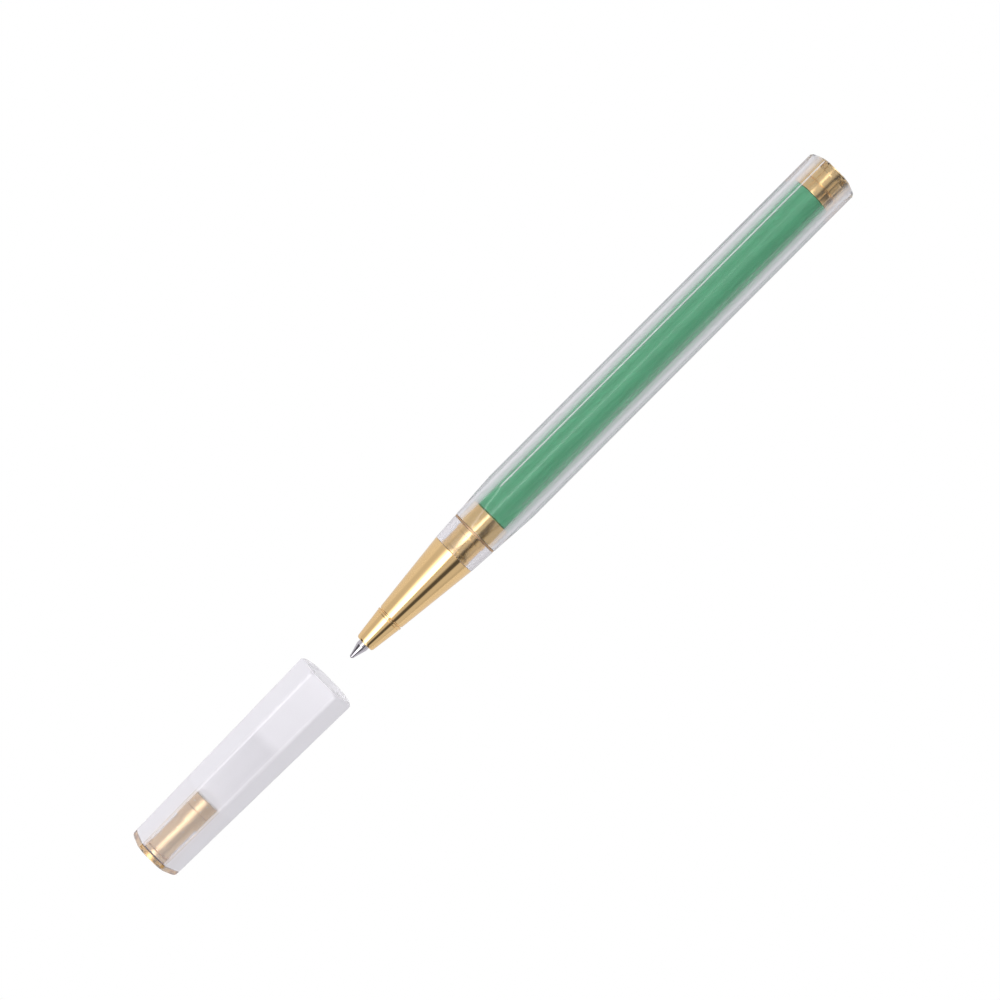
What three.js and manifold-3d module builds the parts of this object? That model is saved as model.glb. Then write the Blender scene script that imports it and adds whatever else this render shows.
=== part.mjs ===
// A capped gel pen, laid out with its cap just ahead of the nib.
// Millimetres, +Z up. The pen's axis runs along X: the nib looks towards -X and
// the tail towards +X. The cap lies on the same axis, ready to slide on. One flat
// of the six-sided barrel and cap faces down, and Z = 0 is the lowest point of the cap.
import * as THREE from 'three';
import { mergeVertices } from 'three/addons/utils/BufferGeometryUtils.js';
import Module from 'manifold-3d';

const wasm = await Module();
wasm.setup();

// ---------- driving dimensions ----------
const PEN_LENGTH = 136.6; // nib tip to tail face
const CAP_LENGTH = 49.2;
const CAP_GAP = 6.6; // free space between the cap's mouth and the nib tip
const LAYOUT_LENGTH = CAP_LENGTH + CAP_GAP + PEN_LENGTH;

const BARREL_CORNER_R = 6.03; // barrel, across its corners / 2
const CAP_MOUTH_CORNER_R = 7.0; // cap, across its corners / 2, at the mouth
const CAP_END_CORNER_R = 6.08; // the same at its closed end
const FLAT = Math.cos(Math.PI / 6); // a hexagon's flat over its corner radius

const FIT = 0.05; // radial clearance between neighbours
const SEAT = 0.05; // axial clearance where faces meet

const ROUND = 32; // sides of a turned piece
const FINE_ROUND = 20; // sides of the smallest turned pieces

// ---------- the frame ----------
const CAP_END_X = -LAYOUT_LENGTH / 2; // outer face of the cap's closed end
const NIB_X = CAP_END_X + CAP_LENGTH + CAP_GAP; // nib tip
const AXIS_Z = CAP_MOUTH_CORNER_R * FLAT; // the cap rests on its mouth's lower flat

// ---------- stations along the pen, measured from the nib tip ----------
const NOSE_FRONT = 4.0;
const LIP_END = 11.2; // small lip where the nose piece meets the cone
const CONE_END = 29.2; // brass cone meets the clear ring
const JOINT_FRONT = 34.9; // front face of the barrel insert's flange
const JOINT_BACK = 35.3; // the clear barrel starts here
const INSERT_END = 40.0;
const SLEEVE_END = 129.9; // the coloured sleeve meets the tail plug
const FLANGE_FRONT = 134.9; // rim of the tail plug, let into the barrel's end
const NECK_END = 39.6; // rear end of the threaded neck
const REFILL_SHOULDER = 14.6; // the refill's flange stops here in the nose piece
const REFILL_END = 126.5;

// ---------- radii along the pen ----------
const NIB_R = 1.25;
const NOSE_FRONT_R = 2.1;
const LIP_R = 3.06;
const GROOVE_R = 2.85;
const CONE_FRONT_R = 3.0;
const CONE_END_R = 4.93;
const RING_FRONT_R = 4.95;
const TAPER = 0.0641; // growth in radius per millimetre behind the cone
const JOINT_R = RING_FRONT_R + TAPER * (JOINT_FRONT - CONE_END);
const BARREL_BORE_R = 4.55;
const RIM_BORE_R = 4.9; // counterbore for the tail plug's rim
const SLEEVE_R = 4.42;
const SLEEVE_BORE_R = 3.6;
const NECK_R = 3.1;
const NECK_BORE_R = 2.35;
const COLLAR_R = 3.55; // collars of the neck that carry the clear ring
const TUBE_R = 2.0;
const TUBE_BORE_R = 1.5;
const BALL_R = 0.35;

// ---------- stations and radii in the cap, measured from its closed end ----------
const DISC_THICKNESS = 1.0;
const DISC_R = 5.0;
const SOCKET_BACK = 1.2;
const SOCKET_STEP = 10.1; // the socket widens here
const SOCKET_MOUTH = 16.2;
const SOCKET_R = 3.7;
const SOCKET_MOUTH_R = 4.4;
const CAP_BORE_R = 4.6; // round bore at the socket
const CAP_BORE_MOUTH_R = 5.25; // round bore where the six-sided bore takes over
const HEX_BORE_START = 32.2;
const HEX_BORE_FLAT = 5.35; // six-sided bore, across its flats / 2
const HEX_BORE_FILLET = 0.45;

// ---------- colours ----------
const CLEAR = { color: 0xe6e8ee, roughness: 0.05, metalness: 0 };
const FROSTED = { color: 0xe3e1ea, roughness: 0.35, metalness: 0 };
const BRASS = { color: 0xd9b26c, roughness: 0.2, metalness: 1 };
const STEEL = { color: 0xb9b8c0, roughness: 0.2, metalness: 1 };
const CARBIDE = { color: 0x8c8c92, roughness: 0.15, metalness: 1 };
const GREEN = { color: 0x5fae86, roughness: 0.45, metalness: 0 };
const INK = { color: 0x1f6b4a, roughness: 0.4, metalness: 0 };
const GREASE = { color: 0xd8cfa8, roughness: 0.3, metalness: 0 };
const TUBE_PLASTIC = { color: 0xe4e7e6, roughness: 0.3, metalness: 0 };
const WHITE_PLASTIC = { color: 0xf0efeb, roughness: 0.45, metalness: 0 };
const SILICONE = { color: 0xcfd2d4, roughness: 0.7, metalness: 0 };

// ---------- shape helpers ----------
const pen = new THREE.Group();

function addPiece(name, geometry, finish) {
  const material = new THREE.MeshStandardMaterial(finish);
  const mesh = new THREE.Mesh(geometry, material);
  mesh.name = name;
  mesh.position.set(0, 0, AXIS_Z);
  pen.add(mesh);
}

// Turns an outline of [station, radius] points about the X axis. start is the X of
// station 0. An outline that doesn't touch the axis closes on itself, as a tube does.
function turned(start, outline, sides = ROUND) {
  const points = outline.map(([station, radius]) => new THREE.Vector2(radius, station));
  const touchesAxis = points[0].x === 0;
  if (!touchesAxis) points.push(points[0].clone());
  const area = THREE.ShapeUtils.area(points);
  if (area < 0) points.reverse();
  const geometry = new THREE.LatheGeometry(points, sides);
  geometry.rotateZ(-Math.PI / 2);
  geometry.translate(start, 0, 0);
  return geometry;
}

// A six-sided bar or frustum along X with a flat facing down.
function hexBar(fromX, toX, fromRadius, toRadius) {
  const length = toX - fromX;
  const geometry = new THREE.CylinderGeometry(
    toRadius, fromRadius, length, 6, 1, false, Math.PI / 6);
  geometry.rotateZ(-Math.PI / 2);
  geometry.translate((fromX + toX) / 2, 0, 0);
  return geometry;
}

// A six-sided bar along X with rounded corners, given across its flats / 2.
function roundedHexBar(fromX, toX, flat, fillet) {
  const cornerStep = Math.PI / 3;
  const cornerCentreR = (flat - fillet) / FLAT;
  const shape = new THREE.Shape();
  for (let corner = 0; corner < 6; corner += 1) {
    const angle = corner * cornerStep;
    const x = cornerCentreR * Math.sin(angle);
    const y = cornerCentreR * Math.cos(angle);
    const facing = Math.PI / 2 - angle;
    shape.absarc(x, y, fillet, facing + cornerStep / 2, facing - cornerStep / 2, true);
  }
  const geometry = new THREE.ExtrudeGeometry(shape, {
    depth: toX - fromX, bevelEnabled: false, curveSegments: 4,
  });
  geometry.rotateY(Math.PI / 2);
  geometry.translate(fromX, 0, 0);
  return geometry;
}

function toSolid(geometry) {
  const plain = geometry.clone();
  plain.deleteAttribute('normal');
  plain.deleteAttribute('uv');
  const merged = mergeVertices(plain, 1e-4);
  return new wasm.Manifold(new wasm.Mesh({
    numProp: 3,
    vertProperties: new Float32Array(merged.attributes.position.array),
    triVerts: new Uint32Array(merged.index.array),
  }));
}

function toGeometry(solid) {
  const mesh = solid.getMesh();
  const geometry = new THREE.BufferGeometry();
  geometry.setAttribute('position', new THREE.BufferAttribute(mesh.vertProperties, 3));
  geometry.setIndex(new THREE.BufferAttribute(mesh.triVerts, 1));
  return geometry;
}

// ---------- barrel ----------
// The clear barrel: a six-sided bar, its front turned to a taper, bored right through.
function barrelShell() {
  const taperEnd = CONE_END + (BARREL_CORNER_R - RING_FRONT_R) / TAPER + 1;
  const taperEndR = RING_FRONT_R + TAPER * (taperEnd - CONE_END);
  const beyond = 1;
  const front = JOINT_BACK + SEAT;
  const frontR = RING_FRONT_R + TAPER * (front - CONE_END);
  const bar = toSolid(hexBar(
    NIB_X + front, NIB_X + PEN_LENGTH, BARREL_CORNER_R, BARREL_CORNER_R));
  const envelope = toSolid(turned(NIB_X, [
    [front, 0],
    [front, frontR],
    [taperEnd, taperEndR],
    [PEN_LENGTH + beyond, taperEndR],
    [PEN_LENGTH + beyond, 0],
  ], 2 * ROUND));
  const bore = toSolid(turned(NIB_X, [
    [front - beyond, 0],
    [front - beyond, BARREL_BORE_R],
    [FLANGE_FRONT, BARREL_BORE_R],
    [FLANGE_FRONT, RIM_BORE_R],
    [PEN_LENGTH + beyond, RIM_BORE_R],
    [PEN_LENGTH + beyond, 0],
  ]));
  return toGeometry(bar.intersect(envelope).subtract(bore));
}

function colourSleeve() {
  return turned(NIB_X, [
    [INSERT_END + SEAT, SLEEVE_BORE_R],
    [INSERT_END + SEAT, SLEEVE_R],
    [SLEEVE_END - SEAT, SLEEVE_R],
    [SLEEVE_END - SEAT, SLEEVE_BORE_R],
  ]);
}

// The brass insert: a thin full-width flange at the joint and a threaded sleeve.
function barrelInsert() {
  const threadR = NECK_R + 2 * FIT;
  const sleeveR = BARREL_BORE_R - FIT;
  const chamfer = 0.3;
  return turned(NIB_X, [
    [JOINT_FRONT, threadR],
    [JOINT_FRONT, JOINT_R],
    [JOINT_BACK, JOINT_R],
    [JOINT_BACK, sleeveR],
    [INSERT_END - chamfer, sleeveR],
    [INSERT_END, sleeveR - chamfer],
    [INSERT_END, threadR],
  ]);
}

// The brass tail plug: stepped, grooved, and cupped in front for the buffer spring.
const CUP_BOTTOM = 133.4;
const CUP_R = 2.5;
function tailPlug() {
  const bodyR = BARREL_BORE_R - FIT;
  const grooveFront = 132.0;
  const grooveBack = 132.4;
  const grooveDepth = 0.3;
  const rimR = RIM_BORE_R - FIT;
  const rimChamfer = 0.15;
  return turned(NIB_X, [
    [CUP_BOTTOM, 0],
    [CUP_BOTTOM, CUP_R],
    [SLEEVE_END, CUP_R],
    [SLEEVE_END, bodyR],
    [grooveFront, bodyR],
    [grooveFront, bodyR - grooveDepth],
    [grooveBack, bodyR - grooveDepth],
    [grooveBack, bodyR],
    [FLANGE_FRONT + SEAT, bodyR],
    [FLANGE_FRONT + SEAT, rimR],
    [PEN_LENGTH - rimChamfer, rimR],
    [PEN_LENGTH, rimR - rimChamfer],
    [PEN_LENGTH, 0],
  ]);
}

// The buffer spring that keeps the refill pressed forward.
class Helix extends THREE.Curve {
  constructor(fromX, toX, radius, turns) {
    super();
    this.fromX = fromX;
    this.toX = toX;
    this.radius = radius;
    this.turns = turns;
  }

  getPoint(t, target = new THREE.Vector3()) {
    const angle = t * this.turns * 2 * Math.PI;
    return target.set(
      THREE.MathUtils.lerp(this.fromX, this.toX, t),
      this.radius * Math.cos(angle),
      this.radius * Math.sin(angle),
    );
  }
}

function bufferSpring() {
  const wireR = 0.2;
  const coilR = 1.95;
  const turns = 6;
  const stepsPerTurn = 12;
  const wireSides = 6;
  const front = NIB_X + REFILL_END + wireR + SEAT;
  const back = NIB_X + CUP_BOTTOM - wireR - SEAT;
  const section = new THREE.Shape();
  section.absarc(0, 0, wireR, 0, 2 * Math.PI, false);
  return new THREE.ExtrudeGeometry(section, {
    steps: turns * stepsPerTurn,
    curveSegments: wireSides,
    bevelEnabled: false,
    extrudePath: new Helix(front, back, coilR, turns),
  });
}

// ---------- section ----------
// The brass nose: a slim cone ending in a small lip, with a spigot inside the big cone.
function nosePiece() {
  const frontChamfer = 0.25;
  const nibClearance = 0.1;
  const boreStart = 4.9;
  const boreR = 1.8;
  const lipStart = 10.8;
  const lipFrontR = 2.95;
  const spigotR = 2.35;
  return turned(NIB_X, [
    [NOSE_FRONT, NIB_R + nibClearance],
    [NOSE_FRONT, NOSE_FRONT_R - frontChamfer],
    [NOSE_FRONT + frontChamfer, NOSE_FRONT_R],
    [lipStart, lipFrontR],
    [lipStart, LIP_R],
    [LIP_END, LIP_R],
    [LIP_END, spigotR],
    [REFILL_SHOULDER, spigotR],
    [REFILL_SHOULDER, boreR],
    [boreStart, boreR],
    [boreStart, NIB_R + nibClearance],
  ]);
}

// The long brass cone, with a fine groove behind the nose's lip.
const NECK_FRONT = 22.0; // front end of the neck inside the cone
function sectionCone() {
  const front = LIP_END + SEAT;
  const grooveBack = 11.5;
  const spigotBoreR = 2.4;
  const refillBoreR = 2.8;
  const neckBoreR = NECK_R + FIT;
  const seatStart = REFILL_SHOULDER + SEAT;
  return turned(NIB_X, [
    [front, spigotBoreR],
    [front, GROOVE_R],
    [grooveBack, GROOVE_R],
    [grooveBack, CONE_FRONT_R],
    [CONE_END, CONE_END_R],
    [CONE_END, neckBoreR],
    [NECK_FRONT - SEAT, neckBoreR],
    [NECK_FRONT - SEAT, refillBoreR],
    [seatStart, refillBoreR],
    [seatStart, spigotBoreR],
  ]);
}

// The brass neck: pressed into the cone, two collars under the clear ring, then the
// stretch that screws into the barrel insert.
function sectionNeck() {
  const frontCollarEnd = 30.2;
  const rearCollarStart = 33.6;
  const ringBack = JOINT_FRONT - SEAT;
  const threadChamfer = 0.4;
  return turned(NIB_X, [
    [NECK_FRONT, NECK_BORE_R],
    [NECK_FRONT, NECK_R],
    [CONE_END + SEAT, NECK_R],
    [CONE_END + SEAT, COLLAR_R],
    [frontCollarEnd, COLLAR_R],
    [frontCollarEnd, NECK_R],
    [rearCollarStart, NECK_R],
    [rearCollarStart, COLLAR_R],
    [ringBack, COLLAR_R],
    [ringBack, NECK_R],
    [NECK_END - threadChamfer, NECK_R],
    [NECK_END, NECK_R - threadChamfer],
    [NECK_END, NECK_BORE_R],
  ]);
}

// The clear ring between the brass cone and the barrel's joint.
function gripRing() {
  const boreR = COLLAR_R + FIT;
  const front = CONE_END + SEAT;
  const back = JOINT_FRONT - SEAT;
  return turned(NIB_X, [
    [front, boreR],
    [front, RING_FRONT_R],
    [back, JOINT_R],
    [back, boreR],
  ]);
}

// ---------- refill ----------
// The steel nib: a cone whose lip keeps the ball in its cup, then a straight shank.
const NIB_END = 10.0;
function nibTip() {
  const lipStation = 0.2;
  const lipBoreR = 0.34;
  const lipR = 0.42;
  const cupR = 0.37;
  const cupEnd = 0.7;
  const channelR = 0.16;
  const channelStart = 0.84;
  const coneEnd = 3.4;
  const shankBoreR = 0.85;
  const shankBoreStart = 4.0;
  return turned(NIB_X, [
    [lipStation, lipBoreR],
    [lipStation, lipR],
    [coneEnd, NIB_R],
    [NIB_END, NIB_R],
    [NIB_END, shankBoreR],
    [shankBoreStart, shankBoreR],
    [coneEnd, channelR],
    [channelStart, channelR],
    [cupEnd, cupR],
    [BALL_R, cupR],
  ], FINE_ROUND);
}

function writingBall() {
  const columns = 16;
  const rows = 10;
  const geometry = new THREE.SphereGeometry(BALL_R, columns, rows);
  geometry.translate(NIB_X + BALL_R, 0, 0);
  return geometry;
}

// The plastic holder that joins the steel nib to the ink tube. Its flange stops
// against the nose piece.
const HOLDER_END = 23.0;
const HOLDER_FLANGE_END = 16.0;
const HOLDER_FLANGE_R = 2.2;
function tipHolder() {
  const front = 5.2;
  const noseR = 1.7;
  const inkBoreR = 0.9;
  const tailR = TUBE_BORE_R - FIT;
  return turned(NIB_X, [
    [front, NIB_R + FIT],
    [front, noseR],
    [REFILL_SHOULDER + SEAT, noseR],
    [REFILL_SHOULDER + SEAT, HOLDER_FLANGE_R],
    [HOLDER_FLANGE_END, HOLDER_FLANGE_R],
    [HOLDER_FLANGE_END, tailR],
    [HOLDER_END, tailR],
    [HOLDER_END, inkBoreR],
    [NIB_END + SEAT, inkBoreR],
    [NIB_END + SEAT, NIB_R + FIT],
  ]);
}

const TUBE_END = 124.0;
function refillTube() {
  const front = HOLDER_FLANGE_END + SEAT;
  return turned(NIB_X, [
    [front, TUBE_BORE_R],
    [front, TUBE_R],
    [TUBE_END, TUBE_R],
    [TUBE_END, TUBE_BORE_R],
  ]);
}

const INK_END = 98.0;
const FOLLOWER_END = 104.0;
function column(from, to) {
  const radius = TUBE_BORE_R - FIT;
  return turned(NIB_X, [[from, 0], [from, radius], [to, radius], [to, 0]]);
}

// The plug in the tube's rear end, with the vent that lets air in behind the ink.
function refillPlug() {
  const front = 118.0;
  const ventR = 0.4;
  const spigotR = TUBE_BORE_R - FIT;
  return turned(NIB_X, [
    [front, ventR],
    [front, spigotR],
    [TUBE_END + SEAT, spigotR],
    [TUBE_END + SEAT, HOLDER_FLANGE_R],
    [REFILL_END, HOLDER_FLANGE_R],
    [REFILL_END, ventR],
  ]);
}

// ---------- cap ----------
// The frosted cap: a drafted six-sided shell, bored round for the brass socket and
// six-sided at the mouth for the barrel.
function capShell() {
  const beyond = 1;
  const outside = toSolid(hexBar(
    CAP_END_X, CAP_END_X + CAP_LENGTH, CAP_END_CORNER_R, CAP_MOUTH_CORNER_R));
  const discSeat = DISC_THICKNESS + SEAT;
  const roundBore = toSolid(turned(CAP_END_X, [
    [-beyond, 0],
    [-beyond, DISC_R + FIT],
    [discSeat, DISC_R + FIT],
    [discSeat, CAP_BORE_R],
    [SOCKET_MOUTH, CAP_BORE_R],
    [HEX_BORE_START, CAP_BORE_MOUTH_R],
    [HEX_BORE_START + beyond, CAP_BORE_MOUTH_R],
    [HEX_BORE_START + beyond, 0],
  ]));
  const hexBore = toSolid(roundedHexBar(
    CAP_END_X + HEX_BORE_START, CAP_END_X + CAP_LENGTH + beyond,
    HEX_BORE_FLAT, HEX_BORE_FILLET));
  return toGeometry(outside.subtract(roundBore).subtract(hexBore));
}

const WEB_END = 2.2; // the socket's closed back
const STUD_R = 1.4;
function capEndDisc() {
  const chamfer = 0.15;
  const studEnd = WEB_END - 0.2;
  return turned(CAP_END_X, [
    [0, 0],
    [0, DISC_R - chamfer],
    [chamfer, DISC_R],
    [DISC_THICKNESS, DISC_R],
    [DISC_THICKNESS, STUD_R],
    [studEnd, STUD_R],
    [studEnd, 0],
  ]);
}

// The brass socket in the cap: a back flange with a hole for the disc's stud, a
// straight barrel and a wider mouth.
const LINER_STEP = SOCKET_STEP + 0.4;
const SOCKET_BORE_R = 3.25;
const SOCKET_MOUTH_BORE_R = 3.95;
function capSocket() {
  const flangeR = CAP_BORE_R - 2 * FIT;
  const flangeEnd = 2.0;
  const mouthChamfer = 0.3;
  const studHoleR = STUD_R + FIT;
  return turned(CAP_END_X, [
    [SOCKET_BACK, studHoleR],
    [SOCKET_BACK, flangeR],
    [flangeEnd, flangeR],
    [flangeEnd, SOCKET_R],
    [SOCKET_STEP, SOCKET_R],
    [SOCKET_STEP, SOCKET_MOUTH_R],
    [SOCKET_MOUTH - mouthChamfer, SOCKET_MOUTH_R],
    [SOCKET_MOUTH, SOCKET_MOUTH_R - mouthChamfer],
    [SOCKET_MOUTH, SOCKET_MOUTH_BORE_R],
    [LINER_STEP, SOCKET_MOUTH_BORE_R],
    [LINER_STEP, SOCKET_BORE_R],
    [WEB_END, SOCKET_BORE_R],
    [WEB_END, studHoleR],
  ]);
}

// The plastic inner cap that closes round the nose and keeps the ink from drying.
const LINER_FLOOR = 2.75;
function innerCap() {
  const back = WEB_END + SEAT;
  const boreR = 2.62;
  const mouthBoreR = 3.35;
  const stepStation = LINER_STEP + 0.3;
  const lead = 0.2;
  return turned(CAP_END_X, [
    [back, 0],
    [back, SOCKET_BORE_R - FIT],
    [LINER_STEP + SEAT, SOCKET_BORE_R - FIT],
    [LINER_STEP + SEAT, SOCKET_MOUTH_BORE_R - FIT],
    [SOCKET_MOUTH - SEAT, SOCKET_MOUTH_BORE_R - FIT],
    [SOCKET_MOUTH - SEAT, mouthBoreR + lead],
    [SOCKET_MOUTH - SEAT - lead, mouthBoreR],
    [stepStation, mouthBoreR],
    [stepStation, boreR],
    [LINER_FLOOR, boreR],
    [LINER_FLOOR, 0],
  ]);
}

// The soft pad that the nib rests against in the closed cap.
function nibSeal() {
  const back = LINER_FLOOR + SEAT;
  const front = 3.3;
  const radius = 2.5;
  return turned(CAP_END_X, [[back, 0], [back, radius], [front, radius], [front, 0]]);
}

// ---------- assembly ----------
addPiece('barrel_shell', barrelShell(), CLEAR);
addPiece('colour_sleeve', colourSleeve(), GREEN);
addPiece('barrel_insert', barrelInsert(), BRASS);
addPiece('tail_plug', tailPlug(), BRASS);
addPiece('buffer_spring', bufferSpring(), STEEL);

addPiece('nose_piece', nosePiece(), BRASS);
addPiece('section_cone', sectionCone(), BRASS);
addPiece('section_neck', sectionNeck(), BRASS);
addPiece('grip_ring', gripRing(), CLEAR);

addPiece('writing_ball', writingBall(), CARBIDE);
addPiece('nib_tip', nibTip(), STEEL);
addPiece('tip_holder', tipHolder(), WHITE_PLASTIC);
addPiece('refill_tube', refillTube(), TUBE_PLASTIC);
addPiece('ink_column', column(HOLDER_END + SEAT, INK_END), INK);
addPiece('ink_follower', column(INK_END + SEAT, FOLLOWER_END), GREASE);
addPiece('refill_plug', refillPlug(), TUBE_PLASTIC);

addPiece('cap_shell', capShell(), FROSTED);
addPiece('cap_end_disc', capEndDisc(), BRASS);
addPiece('cap_socket', capSocket(), BRASS);
addPiece('inner_cap', innerCap(), WHITE_PLASTIC);
addPiece('nib_seal', nibSeal(), SILICONE);

export default pen;
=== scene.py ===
import math

import bmesh
import bpy
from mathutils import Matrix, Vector


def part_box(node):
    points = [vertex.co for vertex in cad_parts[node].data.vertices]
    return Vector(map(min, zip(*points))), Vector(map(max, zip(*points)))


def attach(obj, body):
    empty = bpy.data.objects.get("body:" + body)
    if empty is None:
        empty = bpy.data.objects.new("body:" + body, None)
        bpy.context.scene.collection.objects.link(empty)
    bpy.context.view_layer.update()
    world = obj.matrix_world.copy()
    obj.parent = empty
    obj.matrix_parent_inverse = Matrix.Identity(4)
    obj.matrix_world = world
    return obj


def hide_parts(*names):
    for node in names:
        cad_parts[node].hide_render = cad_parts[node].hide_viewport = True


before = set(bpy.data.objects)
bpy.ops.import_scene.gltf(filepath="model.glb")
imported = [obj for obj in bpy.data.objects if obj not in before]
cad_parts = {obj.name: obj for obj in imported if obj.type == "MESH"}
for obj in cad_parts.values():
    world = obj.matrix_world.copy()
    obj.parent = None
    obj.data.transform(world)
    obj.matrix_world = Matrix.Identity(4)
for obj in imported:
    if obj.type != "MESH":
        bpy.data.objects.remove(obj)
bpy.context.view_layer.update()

# ---------------------------------------------------------------- units and places
MM = 0.001
SIDES = 160  # round a turned piece
CORNER_STEPS = 5  # segments in a rounded edge
QUARTER = [math.pi / 2 * i / CORNER_STEPS for i in range(CORNER_STEPS + 1)]  # turns over a rounded edge
SHARP = math.radians(34)  # edges that turn more than this are shaded as corners
MOST_OF_SIDE = 0.45  # share of a side that a fillet may take up
ON_AXIS = 1e-7  # a radius below this is a point on the axis

nib_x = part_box("writing_ball")[0].x
tail_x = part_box("tail_plug")[1].x
cap_end_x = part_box("cap_end_disc")[0].x
cap_mouth_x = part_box("cap_shell")[1].x
axis_z = (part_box("cap_end_disc")[0].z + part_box("cap_end_disc")[1].z) / 2


def low(node):
    """The node's end nearest the cap."""
    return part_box(node)[0].x


def high(node):
    """The node's end nearest the tail."""
    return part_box(node)[1].x


def radius(node):
    """Half the node's width."""
    return (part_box(node)[1].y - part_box(node)[0].y) / 2


SIXTH = math.pi / 3  # a sixth of a turn

# A hexagon's FLAT is the distance from its axis to a flat.
BARREL_FLAT = (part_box("barrel_shell")[1].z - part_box("barrel_shell")[0].z) / 2
CAP_END_FLAT = 6.08 * math.cos(SIXTH / 2) * MM
CAP_MOUTH_FLAT = radius("cap_shell") * math.cos(SIXTH / 2)
BARREL_FILLET = 0.25 * MM
CAP_FILLET = 0.8 * MM
CORNER_LEFT = 0.3 * MM  # how far the corners stand past the flats at the ends of cap and barrel

# The cap's bore: round round the socket, a slow cone past it, then six-sided up to the mouth.
CAP_BORE_R = 4.6 * MM
SOCKET_MOUTH_X = cap_end_x + 16.2 * MM
BORE_AT_HEX_R = 5.25 * MM
HEX_BORE_X = cap_end_x + 32.2 * MM
HEX_BLEND = 1.6 * MM  # length over which the round bore turns six-sided
HEX_BORE_FLAT = 5.35 * MM
HEX_BORE_FILLET = 0.8 * MM
CLEAR_END = 1.3 * MM  # length at the closed end that is left polished

# The barrel's bore, and the clear taper that runs on from the ring in front of it.
BARREL_BORE = 4.55 * MM
RIM_BORE = radius("tail_plug") + 0.05 * MM
TAPER = 0.0641  # growth in radius along the taper
RING_FRONT_X = low("grip_ring")
RING_FRONT_R = 4.95 * MM

# The refill's parts share their edges, and ink and grease the size of the tube's bore.
REFILL_EDGE = 0.08 * MM
FILL_R = radius("ink_column")
MENISCUS = 0.6 * MM  # depth of the hollow in the rear end of the ink and the grease


def taper_radius(x):
    """Radius of the clear taper at a place along the pen."""
    return RING_FRONT_R + TAPER * (x - RING_FRONT_X)


# ---------------------------------------------------------------- mesh helpers
def rounded(outline, closed):
    """Points along an outline of (x, r, fillet) corners, each corner eased by its fillet."""
    points = []
    count = len(outline)
    for i, (x, r, fillet) in enumerate(outline):
        here = Vector((x, r))
        at_end = not closed and i in (0, count - 1)
        if fillet <= 0 or at_end:
            points.append(here)
            continue
        before = Vector(outline[i - 1][:2]) - here
        after = Vector(outline[(i + 1) % count][:2]) - here
        turn = before.angle(after)
        reach = fillet / math.tan(turn / 2)
        reach = min(reach, MOST_OF_SIDE * before.length, MOST_OF_SIDE * after.length)
        start = here + before.normalized() * reach
        end = here + after.normalized() * reach
        for step in range(CORNER_STEPS + 1):
            t = step / CORNER_STEPS
            points.append((1 - t) ** 2 * start + 2 * t * (1 - t) * here + t ** 2 * end)
    return points


def loft(name, rings, closed):
    """A mesh through rings of points. A ring of one point is a pole."""
    mesh = bpy.data.meshes.new(name)
    bm = bmesh.new()
    rows = [[bm.verts.new(p) for p in ring] for ring in rings]
    pairs = list(zip(rows, rows[1:]))
    if closed:
        pairs.append((rows[-1], rows[0]))
    for a, b in pairs:
        wide = max(len(a), len(b))
        for i in range(wide):
            j = (i + 1) % wide
            if len(a) == 1:
                bm.faces.new((a[0], b[j], b[i]))
            elif len(b) == 1:
                bm.faces.new((a[i], a[j], b[0]))
            else:
                bm.faces.new((a[i], a[j], b[j], b[i]))
    bmesh.ops.recalc_face_normals(bm, faces=bm.faces)
    for face in bm.faces:
        face.smooth = True
    bm.to_mesh(mesh)
    bm.free()
    mesh.set_sharp_from_angle(angle=SHARP)
    piece = bpy.data.objects.new(name, mesh)
    bpy.context.scene.collection.objects.link(piece)
    return piece


def points_round(x, radii, angles):
    """A ring of points round the axis, with a radius for each angle."""
    return [(x, r * math.sin(a), axis_z + r * math.cos(a)) for r, a in zip(radii, angles)]


def circle(x, r, angles):
    """A round ring of points."""
    return points_round(x, [r] * len(angles), angles)


def turned(name, outline, sides=SIDES):
    """A turned piece from an outline of (x, r, fillet). One that starts on the axis is solid."""
    solid = outline[0][1] == 0
    points = rounded(outline, closed=not solid)
    angles = [2 * math.pi * i / sides for i in range(sides)]
    rings = []
    for x, r in points:
        on_axis = r < ON_AXIS
        rings.append([(x, 0, axis_z)] if on_axis else circle(x, r, angles))
    return loft(name, rings, closed=not solid)


def hex_radius(angle, flat, fillet):
    """Reach of a rounded hexagon at an angle from +Z, with flats facing up and down."""
    off = abs((angle + SIXTH / 2) % SIXTH - SIXTH / 2)
    flat_half = (flat - fillet) * math.tan(SIXTH / 2)
    if off <= math.atan2(flat_half, flat):
        return flat / math.cos(off)
    centre = (flat - fillet) / math.cos(SIXTH / 2)
    side = centre * math.sin(SIXTH / 2 - off)
    return centre * math.cos(SIXTH / 2 - off) + math.sqrt(max(fillet ** 2 - side ** 2, 0))


def hex_angles(flat, fillet):
    """Angles round a hexagon: even steps over each flat and close steps round each corner."""
    flat_steps = 18
    corner_steps = 8
    turn = math.atan2((flat - fillet) * math.tan(SIXTH / 2), flat)
    corner = 2 * (SIXTH / 2 - turn)
    inner = turn - 0.3 * corner
    over_flat = [-inner + 2 * inner * i / flat_steps for i in range(flat_steps + 1)]
    over_corner = [turn + corner * i / corner_steps for i in range(corner_steps + 1)]
    sector = over_flat + over_corner
    return [k * SIXTH + a for k in range(6) for a in sector]


def hex_radii(angles, flat, fillet):
    """Reach of a rounded hexagon at each of the angles."""
    return [hex_radius(a, flat, fillet) for a in angles]


def soft_min(a, b, softness):
    """The smaller of two lengths, with the change from one to the other eased."""
    gap = max(softness - abs(a - b), 0) / softness
    return min(a, b) - gap * gap * softness / 4


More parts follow.
